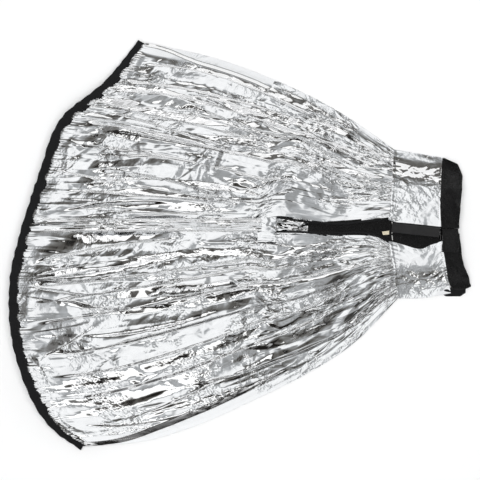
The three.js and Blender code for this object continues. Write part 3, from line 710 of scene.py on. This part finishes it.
def slit_twist():
    """The end of the centre band's film, twisted between the slit's bound edges up to the underlap."""
    shares = np.linspace(0, 1, 120)
    upper, lower = (along(midline(f"slit_binding_{side}"), shares) for side in ("upper", "lower"))
    if upper[0, 0] > upper[-1, 0]:
        upper, lower = upper[::-1], lower[::-1]
    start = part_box("centre_seam_band")[1][0] - TWIST_LAP
    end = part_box("underlap")[0][0] + 2 * TWIST_LAP
    xs, vs = np.linspace(start, end, 90), np.linspace(0, 1, 34)
    top = np.interp(xs, upper[:, 0], upper[:, 1])
    foot = np.interp(xs, lower[:, 0], lower[:, 1])
    x, v = np.meshgrid(xs, vs, indexing="ij")
    y = top[:, None] + (foot - top)[:, None] * v
    height = np.interp(xs, upper[:, 0], upper[:, 2])[:, None]
    u = (x - start) / (end - start)
    trough = TWIST_DEPTH * np.clip((0.5 - np.abs(v - 0.3)) / 0.5, 0, 1) * smoothstep(u, 0.1, 0.5)
    wrung = np.clip(np.sin(math.pi * (3 * u + 1.6 * v)), -0.7, 0.7)
    knot = 6 * MM * bell(u, 0.78, 0.07) * wrung
    facets = crumple(x - start, y, 141, ((0.03, 0.012, 1.4 * MM), (0.012, 0.006, 0.5 * MM)))
    z = SLIT_FILM_SHARE * height - trough + knot + facets
    return grid_object("film_slit_twist", np.dstack([x, y, z]), FILM)


yoke_upper = yoke_sheet("yoke_front_upper", "film_yoke_upper", 31)
yoke_lower = yoke_sheet("yoke_front_lower", "film_yoke_lower", 47)
band_film = centre_band()
twist_film = slit_twist()
back_film = flat_film("back_panel", "film_back", 61, 220, 160)
yoke_back = flat_film("yoke_back", "film_yoke_back", 67, 60, 130)
for piece, node, flat, area, held, rests in (
    (yoke_upper, "yoke_front_upper", (0.15, 0.19), 0.026, "gathered", "yoke_back"),
    (yoke_lower, "yoke_front_lower", (0.13, 0.12), 0.0125, "gathered", "yoke_back"),
    (band_film, "centre_seam_band", (0.58, 0.032), 0.0185, "stretched", "film_front_upper"),
    (twist_film, None, (0.16, 0.045), 0.0052, "folded", "underlap_cloth"),
    (back_film, "back_panel", (0.98, 0.95), 0.70, "laid", "hem_binding_back"),
    (yoke_back, "yoke_back", (0.15, 0.37), 0.047, "laid", "waistband"),
):
    declare(piece, [node] if node else [], "film")


# ---- black tape, webbing and cloth ----

def cloth_material(name, colour, pitch, rough=0.8, lint_and_sheen_spread=0.25, relief=0.35, sheen=0.12):
    """Woven cloth: crossed threads at a pitch in metres, lint, and painted sheen: patches painted a little
    paler where its rumples rise, mixed with random lint tone.
    """
    material, tree, shader = node_material(name)
    shader.inputs["Sheen Weight"].default_value = sheen
    shader.inputs["Specular IOR Level"].default_value = 0.45
    where = add_node(tree, "ShaderNodeTexCoord").outputs["Object"]
    threads = []
    for way in ("X", "Y"):
        wave = add_node(
            tree, "ShaderNodeTexWave", {"Vector": where, "Scale": 0.314 / pitch, "Distortion": 0.6},
            bands_direction=way)
        threads.append(wave.outputs[1])
    weave = math_node(tree, "MULTIPLY", threads[0], threads[1])
    lint = noise_node(tree, where, 90.0, 5.0).outputs[0]
    rumple = noise_node(tree, where, 28.0).outputs[0]
    height = math_node(tree, "ADD", math_node(tree, "MULTIPLY", weave, 0.4), rumple)
    bump = {"Height": height, "Strength": relief, "Distance": 0.003}
    roughness = spread_node(tree, lint, rough - 0.1, rough + 0.1)
    # Painted sheen on the folds: colour paler where the rumple bump rises, mixed with random lint tone
    lint_and_fold_sheen = math_node(tree, "MULTIPLY", math_node(tree, "ADD", lint, rumple), 0.5)
    dark, pale = ((*[c * share for c in colour], 1) for share in (1 - lint_and_sheen_spread, 1 + 2 * lint_and_sheen_spread))
    link_surface(tree, shader, bump, roughness, mix_node(tree, lint_and_fold_sheen, dark, pale))
    return material


TAPE_CLOTH = cloth_material("black_binding_tape", (0.0045, 0.0045, 0.005), 0.0012, lint_and_sheen_spread=0.4, sheen=0.03)
BAND_CLOTH = cloth_material(
    "black_waistband_cloth", (0.0030, 0.0029, 0.0030), 0.0009,
    rough=0.26, lint_and_sheen_spread=0.5, relief=0.8, sheen=0.03)
FLAP_CLOTH = cloth_material(
    "black_flap_cloth", (0.012, 0.0117, 0.012), 0.0011, rough=0.6, lint_and_sheen_spread=0.4, sheen=0.1)
HOOK_TAPE = cloth_material(
    "black_hook_and_loop", (0.006, 0.006, 0.0065), 0.0018, rough=0.85, relief=0.9, sheen=0.1)
ELASTIC = cloth_material("white_elastic", (0.75, 0.74, 0.70), 0.0015)
# Thread of the yoke seam on the film: the real thread is pale; its dark grey is painted shade of the
# puckered stitch holes
THREAD_PAINTED_SHADE = cloth_material("thread_painted_shade_grey", (0.11, 0.108, 0.105), 0.0005)
WHITE_THREAD = cloth_material("white_thread", (0.75, 0.74, 0.72), 0.0005)
BLACK_THREAD = cloth_material("black_thread", (0.012, 0.012, 0.013), 0.0005)
LABEL_CLOTH = cloth_material("cream_label", (0.62, 0.56, 0.42), 0.0006, sheen=0.1)

BINDING_WIDTH = 26 * MM
BINDING_CLOTH = 0.9 * MM  # thickness of its cloth
STITCH_FROM_FOLD = 21.7 * MM  # the binding's stitching to its outer fold
STITCH_OVER_FILM = 3.8 * MM  # top of the binding's stitching to the film's middle

# Half of the binding's section, from its open edge to its fold: shares of its width and half height.
BINDING_SECTION = (
    (1.0, 0.62), (0.86, 0.92), (0.66, 1.0), (0.46, 1.0), (0.26, 0.96), (0.1, 0.8), (0.03, 0.5), (0.0, 0.0))


def hem_tape(node_stitch, name, seed, spread):
    """Gathered tape folded over the hem, with a puckered inner edge. spread is its half height."""
    line = along(midline(node_stitch), np.linspace(0, 1, 520))
    if line[0, 1] < line[-1, 1]:
        line = line[::-1]
    metres = np.linspace(0, length_of(line), len(line))
    fold = offset(line, STITCH_FROM_FOLD + 1.8 * MM * (zigzag(metres / 0.034, seed) - 0.5))
    fold[:, 2] = line[:, 2] - STITCH_OVER_FILM + 0.5 * MM * (zigzag(metres / 0.05, seed + 1) - 0.5)
    inner = BINDING_WIDTH + 2.6 * MM * (zigzag(metres / 0.0065, seed + 2) - 0.5)
    pucker = 0.8 * MM * (zigzag(metres / 0.013, seed + 3) - 0.5)
    pucker = pucker + 0.8 * MM * (zigzag(metres / 0.03, seed + 4) - 0.5)
    outer = [(w, h * spread) for w, h in BINDING_SECTION]
    outer += [(w, -h * spread) for w, h in BINDING_SECTION[-2::-1]]
    inner_face = [(w, h - math.copysign(BINDING_CLOTH, h)) for w, h in outer if abs(h) > BINDING_CLOTH]
    section = outer + inner_face[::-1]
    rings = []
    for w, h in section:
        ring = offset(fold, -w * inner)
        ring[:, 2] += h + pucker * w
        rings.append(ring)
    points = np.stack(rings, axis=1)
    points[..., 2] = np.maximum(points[..., 2], TABLE_CLEARANCE)
    return new_object(name, points.reshape(-1, 3), tube_faces(len(line), len(section)), TAPE_CLOTH)


hem_front = hem_tape("hem_stitching_front", "hem_tape_front", 71, 2.5 * MM)
hem_back = hem_tape("hem_stitching_back", "hem_tape_back", 83, 1.9 * MM)
declare(hem_front, ["hem_binding_front"], "black_tape")
declare(hem_back, ["hem_binding_back"], "black_tape")


def cloth_strip(node, name, material, thickness, rows, columns, seed, wrinkle, hem_ridge=0.0):
    """Cloth over a node's outline and height, with wrinkles and a turned edge."""
    plan, _, v, x, y = sheet_plan(node, rows, columns)
    base = heights(node, plan, 4)
    edge = np.minimum(v, 1 - v)
    z = base - wrinkle + crumple(x, y, seed, ((0.06, 0.02, 0.8 * wrinkle), (0.02, 0.01, 0.3 * wrinkle)))
    z += hem_ridge * (bell(edge, 0.16, 0.05) - bell(edge, 0.24, 0.03))
    return thick_sheet(name, np.dstack([plan, z]), thickness, material)


underlap = cloth_strip("underlap", "underlap_cloth", BAND_CLOTH, 1.0 * MM, 150, 40, 91, 0.9 * MM)
declare(underlap, ["underlap"], "black_band")
for side, seed in (("upper", 95), ("lower", 97)):
    tape = cloth_strip(
        f"slit_binding_{side}", f"slit_tape_{side}", TAPE_CLOTH, 1.6 * MM, 180, 10, seed, 0.3 * MM)
    declare(tape, [f"slit_binding_{side}"], "black_tape")
flap = cloth_strip(
    "placket_flap", "placket_flap_cloth", FLAP_CLOTH, 1.3 * MM, 110, 34, 99, 0.35 * MM, hem_ridge=0.3 * MM)
declare(flap, ["placket_flap"], "black_band", "placket_flap_body")


def care_label():
    """A small blank label hanging aslant from the yoke seam, its free end frayed and curling up."""
    (x0, y0, _), (x1, y1, top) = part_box("care_label")
    u, v = np.meshgrid(np.linspace(0, 1, 24), np.linspace(0, 1, 20), indexing="ij")
    x = x1 - u * (x1 - x0) * (0.86 - 0.10 * v) - 1.2 * MM * zigzag(v * 6, 105) * u
    middle, half = (y0 + y1) / 2, (y1 - y0) / 2
    y = middle + half * (0.72 - 0.10 * u) * (1 - 2 * v) - 2.0 * MM * u
    z = top + 1.6 * MM * u ** 2 + 0.5 * MM * np.sin(math.pi * v) * u
    return thick_sheet("care_label_cloth", np.dstack([x, y, z]), 0.4 * MM, LABEL_CLOTH)


label = care_label()
declare(label, ["care_label"], "label", "label_body")
for piece, node, fullness, rests in (
    (underlap, "underlap", 0.62, "yoke_back"),
    (flap, "placket_flap", 0.95, "underlap_cloth"),
    (label, "care_label", 0.75, "underlap_cloth"),
):
    (x0, y0, _), (x1, y1, _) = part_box(node)


# ---- waistband ----

BACK_LEG = 1.0 * MM  # height at which the band's back is cut for its outline
BAND_WIDTH = 0.042
HALF_BAND = 0.8 * MM  # half the thickness of its webbing
BAND_WRINKLES = ((0.055, 0.036, 7.5 * MM), (0.024, 0.018, 2.6 * MM), (0.011, 0.009, 0.6 * MM))
BAND_FLARE = 9 * MM  # how far the lower end of the band spreads outwards
BAND_ROUNDING = 5 * MM  # how far the corners of its lower end draw in
BAND_LIFT = 7 * MM  # how far the turn at its lower end is drawn up
TUCK_LENGTH, TUCK_WIDTH = 80 * MM, 22 * MM


def band_outline():
    """Levels across the plan of the CAD waistband, and x of its inner and outer edge at each."""
    verts, tris = welded("waistband")
    tree = BVHTree.FromPolygons(verts.tolist(), tris.tolist())
    (_, low, _), (_, high, _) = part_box("waistband")
    levels = np.linspace(low + 2 * MM, high - 2 * MM, 90)

    def edge(y, way):
        return tree.ray_cast(Vector((-way, y, BACK_LEG)), Vector((way, 0, 0)))[0].x

    return levels, [edge(y, 1) for y in levels], [edge(y, -1) for y in levels]


def waistband():
    """One strip of webbing: front from the tab to the top fold, back, and front up to its lower end."""
    levels, inner, outer = band_outline()
    top_at = surface_above("waistband")
    low, high = levels[0], levels[-1]
    (_, tab_low, _), (_, tab_top, _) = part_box("waistband_tab")
    lower_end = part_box("waistband_loop_patch")[1][1] + 6 * MM
    steps, columns = 70, 26
    legs = (
        [(y, True) for y in np.linspace(tab_top, high, steps)]
        + [(y, False) for y in np.linspace(high, low, steps + 30)]
        + [(y, True) for y in np.linspace(low, lower_end, steps)]
    )
    shares = np.linspace(0, 1, columns)
    rows = []
    for y, front in legs:
        x0, x1 = np.interp(y, levels, inner), np.interp(y, levels, outer)
        z = top_at((x0 + x1) / 2, y) - 0.9 * MM if front else 1.1 * MM
        rows.append([(x0 + s * (x1 - x0), y, z) for s in shares])
    middle = np.array(rows)
    metres = distances(middle[:, columns // 2 - 1])
    x, y = np.meshgrid(metres, shares * BAND_WIDTH, indexing="ij")
    wrinkles = crumple(x, y, 111, BAND_WRINKLES)
    under_tab = smoothstep(middle[..., 1], tab_low - 0.03, tab_low - 0.01)
    under_tab = under_tab * (1 - smoothstep(middle[..., 1], tab_top, tab_top + 0.03))
    wrinkles = wrinkles * (1 - 0.9 * under_tab)
    kink = 2.2 * MM * (zigzag(metres / 0.07, 113) - 0.5)
    from_end = middle[..., 1] - low
    flare = BAND_FLARE * bell(from_end, 3 * BAND_FLARE, 3.5 * BAND_FLARE)
    edge = np.minimum(shares, 1 - shares)
    ridge = 0.35 * MM * (bell(edge, 0.07, 0.03) - bell(edge, 0.13, 0.02))
    front = np.array([f for _, f in legs])
    middle[front, :, 2] += wrinkles[front] - 0.5 * MM
    middle[..., 2] += ridge[None]
    middle[..., 0] += (kink[:, None] + flare) * np.linspace(0.1, 1, columns)[None]
    outer_corner = BAND_ROUNDING * (2 * shares - 0.7)[None] ** 2
    middle[..., 1] += (BAND_LIFT + outer_corner) * smoothstep(-from_end, -0.03, 0)
    tangent = np.gradient(middle, axis=0)
    normal = np.stack([np.zeros(tangent.shape[:2]), tangent[..., 2], -tangent[..., 1]], axis=-1)
    normal /= np.maximum(np.linalg.norm(normal, axis=2), 1e-9)[..., None]
    faces_out, faces_in = middle + normal * HALF_BAND, middle - normal * HALF_BAND
    for side in (faces_out, faces_in):
        side[..., 2] = np.maximum(side[..., 2], TABLE_CLEARANCE)
    return closed_sheet("waistband_webbing", faces_out, faces_in, BAND_CLOTH)


def waistband_tab():
    """The band's overlapping end, sewn round its edge. It lifts off its patches."""
    low, high = (np.array(c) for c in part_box("waistband_tab"))
    ys, xs = np.linspace(high[1], low[1], 60), np.linspace(low[0], high[0], 40)
    y, x = np.meshgrid(ys, xs, indexing="ij")
    rise = smoothstep(high[1] - y, 0.0, 16 * MM)
    z = low[2] + 2 * MM + (high[2] - low[2] - 2 * MM) * rise
    edge = np.minimum(np.minimum(x - low[0], high[0] - x), y - low[1])
    z += 0.3 * MM * (bell(edge, 2 * MM, MM) - bell(edge, 4 * MM, 0.7 * MM))
    z += crumple(high[1] - y, x - low[0], 121, ((0.03, 0.02, 0.4 * MM),)) * rise - 0.3 * MM
    return thick_sheet("waistband_tab_webbing", np.dstack([x, y, z]), 1.5 * MM, BAND_CLOTH)


def band_tuck():
    """The band's lining, turned under its lower end and showing past it as a dark point."""
    (_, y0, _), (x1, _, _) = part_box("waistband")
    left, right = x1 - TUCK_LENGTH, x1 - 8 * MM
    u, v = np.meshgrid(np.linspace(0, 1, 40), np.linspace(0, 1, 16), indexing="ij")
    x = left + u * (right - left)
    width = TUCK_WIDTH * smoothstep(u, -0.05, 0.35) * (1 - 0.35 * smoothstep(u, 0.8, 1.0))
    y = y0 + 14 * MM - v * width
    z = 4 * MM + crumple(x - left, y - y0, 131, ((0.02, 0.012, 1.2 * MM),)) - 2.2 * MM * v ** 2
    top = np.dstack([x, y, np.maximum(z, 1.6 * MM)])
    return thick_sheet("waistband_tuck_cloth", top, 1.2 * MM, TAPE_CLOTH)


band = waistband()
tab = waistband_tab()
tuck = band_tuck()
declare(band, ["waistband"], "black_band")
declare(tab, ["waistband_tab"], "black_band", "waistband_tab_body")
declare(tuck, [], "black_band")


# ---- stitches ----

def tree_of(pieces):
    """A search tree over pieces' surfaces."""
    verts, faces = [], []
    for piece in pieces:
        base = len(verts)
        verts += [v.co[:] for v in piece.data.vertices]
        faces += [[base + i for i in p.vertices] for p in piece.data.polygons]
    return BVHTree.FromPolygons(verts, faces)


THREAD_SIDES = 6
THREAD_TURNS = [math.tau * k / THREAD_SIDES for k in range(THREAD_SIDES)]

# Sections of a stitch: share of its half length, rise in widths, and share of its thickness. The
# placket's stitches are as thick at their ends, and rise in mm.
STITCH_SECTIONS = ((-1, 0.0, 0.35), (-0.6, 0.45, 1), (0, 0.6, 1), (0.6, 0.45, 1), (1, 0.0, 0.35))
PLACKET_SECTIONS = ((-1, 0.0), (-0.6, 0.7), (0, 1.0), (0.6, 0.7), (1, 0.0))
THREAD_FACES = [face[::-1] for face in tube_faces(len(STITCH_SECTIONS), THREAD_SIDES)]


def thread_faces(base):
    """Faces of a stitch whose sections start at the given vertex."""
    return [[base + corner for corner in face] for face in THREAD_FACES]


def stitches(nodes, name, surface, size, material, slot, stray=0.12 * MM):
    """Separate stitches along the middle of the nodes' strips, lying on the surface below.

    size is their pitch, length and width, and stray is how far they usually stray sideways.
    """
    pitch, length, width = size
    rng = np.random.default_rng(len(name) * 7 + len(nodes))
    verts, faces = [], []
    for node in nodes:
        line = midline(node)
        count = int(length_of(line) / pitch)
        at = along(line, (np.arange(count) + 0.5) / count)
        way = np.gradient(at[:, :2], axis=0)
        way /= np.linalg.norm(way, axis=1)[:, None]
        for point, step in zip(at, way):
            top = top_of(surface, point[0], point[1])
            if top is None:
                continue
            side = np.array([-step[1], step[0]])
            middle = point[:2] + side * rng.normal(0, stray)
            faces += thread_faces(len(verts))
            for share, lift, narrow in STITCH_SECTIONS:
                centre = middle + step * share * length / 2
                for angle in THREAD_TURNS:
                    spot = centre + side * math.cos(angle) * width / 2 * narrow
                    z = top.z + width * (lift + 0.5 * math.sin(angle) * narrow)
                    verts.append((spot[0], spot[1], max(z, TABLE_CLEARANCE)))
    declare(new_object(name, verts, faces, material), nodes, slot)


def placket_stitches():
    """Long light stitches of the yoke seam where it crosses the black underlap."""
    (x, high, _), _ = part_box("yoke_stitching_upper")
    _, (_, low, _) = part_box("yoke_stitching_lower")
    x += 1.5 * MM
    surface = tree_of([underlap])
    verts, faces = [], []
    count = 5
    for k in range(count):
        y = high + (low - high) * (k + 0.5) / count
        top = top_of(surface, x, y)
        half = 0.36 * (high - low) / count
        faces += thread_faces(len(verts))
        for share, lift in PLACKET_SECTIONS:
            for angle in THREAD_TURNS:
                verts.append((
                    x + 0.9 * MM * math.cos(angle) + 0.8 * MM * share * (-1) ** k, y + share * half,
                    top.z + 0.4 * MM + MM * lift + 0.5 * MM * math.sin(angle)))
    declare(new_object("placket_seam_stitches", verts, faces, WHITE_THREAD), [], "light_thread")


placket_stitches()
film_tree = tree_of([upper_film, lower_film, band_film, yoke_upper, yoke_lower])
for seam, size, thread, slot, stray in (
    # The yoke's thread is painted dark grey as shade of its stitch holes
    ("yoke", (5.2 * MM, 3.4 * MM, 0.9 * MM), THREAD_PAINTED_SHADE, "light_thread", 0.40 * MM),
    ("centre", (4.6 * MM, 3.0 * MM, 0.6 * MM), WHITE_THREAD, "light_thread", 0.12 * MM),
    ("side", (4.6 * MM, 3.0 * MM, 0.6 * MM), WHITE_THREAD, "light_thread", 0.12 * MM),
    ("waist", (4.6 * MM, 3.0 * MM, 0.7 * MM), BLACK_THREAD, "black_thread", 0.12 * MM),
):
    nodes = [f"{seam}_stitching_{side}" for side in ("upper", "lower")]
    stitches(nodes, f"{seam}_stitches", film_tree, size, thread, slot, stray)
for side, tape in (("front", hem_front), ("back", hem_back)):
    stitches(
        [f"hem_stitching_{side}"], f"hem_stitches_{side}", tree_of([tape]),
        (4.2 * MM, 3.0 * MM, 0.7 * MM), BLACK_THREAD, "black_thread")


# ---- finishes of the frame's own nodes ----

KEPT = {
    "hem_elastic_front": ELASTIC, "hem_elastic_back": ELASTIC,
    "waistband_loop_patch": HOOK_TAPE, "waistband_tab_hook_patch": HOOK_TAPE,
    "placket_loop_tape": HOOK_TAPE, "placket_hook_tape": HOOK_TAPE,
}
for node, material in KEPT.items():
    NODES[node].data.materials.clear()
    NODES[node].data.materials.append(material)


# ---- floor, light and camera ----

TABLE_HALF = 6.0


def floor():
    """A white table top, far larger than the object."""
    material, tree, shader = node_material("table_white")
    grain = add_node(tree, "ShaderNodeTexNoise", {"Scale": 40.0})
    tree.links.new(spread_node(tree, grain.outputs[0], 0.9, 0.93), shader.inputs["Base Color"])
    shader.inputs["Roughness"].default_value = 0.9
    corners = [(x * TABLE_HALF, y * TABLE_HALF, 0) for x, y in ((-1, -1), (1, -1), (1, 1), (-1, 1))]
    new_object("table", corners, [(0, 1, 2, 3)], material)


END_WALLS, END_WALLS_SHARE = (0.55, 0.55, 0.56), 0.85  # pale walls past the object's two ends
NEAR_SIDE_BRIGHTER = 0.09  # half turns by which the -Y side of the ceiling reaches lower

# Colours from straight up to the horizon, at angles in half turns.
SKY_STOPS = (
    (0.0, (1.04, 1.05, 1.06)), (0.086, (0.90, 0.91, 0.92)), (0.128, (0.45, 0.465, 0.48)),
    (0.21, (0.20, 0.20, 0.195)), (0.295, (0.085, 0.08, 0.073)), (0.33, (0.012, 0.011, 0.010)),
    (0.385, (0.014, 0.013, 0.012)), (0.42, (0.38, 0.38, 0.38)), (0.5, (0.85, 0.85, 0.86)),
)


def sky():
    """Soft studio surroundings: a white ceiling, a dark ring below it and a pale horizon."""
    world = bpy.data.worlds.new("studio")
    bpy.context.scene.world = world
    world.use_nodes = True
    tree = world.node_tree
    way = add_node(tree, "ShaderNodeTexCoord").outputs["Generated"]
    split = add_node(tree, "ShaderNodeSeparateXYZ", {0: way})
    drift = noise_node(tree, way, 2.6, 1.0)
    shift = math_node(tree, "MULTIPLY", math_node(tree, "SUBTRACT", drift.outputs[0], 0.5), 0.28)
    shift = math_node(tree, "ADD", shift, math_node(tree, "MULTIPLY", split.outputs[1], NEAR_SIDE_BRIGHTER))
    half_turns = math_node(tree, "DIVIDE", math_node(tree, "ARCCOSINE", split.outputs[2]), math.pi)
    ramp = add_node(tree, "ShaderNodeValToRGB", {0: math_node(tree, "ADD", half_turns, shift)})
    elements = ramp.color_ramp.elements
    while len(elements) < len(SKY_STOPS):
        elements.new(0.5)
    for element, (position, colour) in zip(elements, SKY_STOPS):
        element.position = position
        element.color = (*colour, 1)
    endways = math_node(tree, "MULTIPLY", math_node(tree, "POWER", split.outputs[0], 6.0), END_WALLS_SHARE)
    walls = mix_node(tree, endways, ramp.outputs[0], (*END_WALLS, 1))
    tree.links.new(walls, tree.nodes["Background"].inputs[0])


def light(name, place, size, power, in_reflections=True):
    """A rectangular lamp, aimed at the middle of the table."""
    data = bpy.data.lights.new(name, "AREA")
    data.shape = "RECTANGLE"
    data.size, data.size_y = size
    data.energy = power
    lamp = bpy.data.objects.new(name, data)
    lamp.location = place
    lamp.rotation_euler = (Vector((0, 0, 0)) - Vector(place)).to_track_quat("-Z", "Y").to_euler()
    lamp.visible_glossy = in_reflections
    bpy.context.collection.objects.link(lamp)


LOOK_ABOVE = 0.0105  # of the object's length: the view's middle over the object's


def camera():
    """Straight down over the object, which lies a little below the middle of the view."""
    low, high = CAD_BOX
    data = bpy.data.cameras.new("camera")
    distance, margin = 3.0, 1.05
    data.sensor_width = 36
    data.lens = data.sensor_width * distance / (margin * (high[0] - low[0]))
    cam = bpy.data.objects.new("camera", data)
    middle = (low[1] + high[1]) / 2 + LOOK_ABOVE * (high[0] - low[0])
    cam.location = ((low[0] + high[0]) / 2, middle, distance)
    bpy.context.collection.objects.link(cam)
    bpy.context.scene.camera = cam


floor()
sky()
light("overhead", (0, 0, 3.4), (3.0, 3.0), 104, in_reflections=False)
light("box_far", (0.2, 2.4, 1.6), (3.0, 1.0), 9)
light("box_near", (-0.4, -2.2, 1.9), (2.4, 0.8), 6)
camera()
bpy.context.scene.view_settings.view_transform = "Standard"
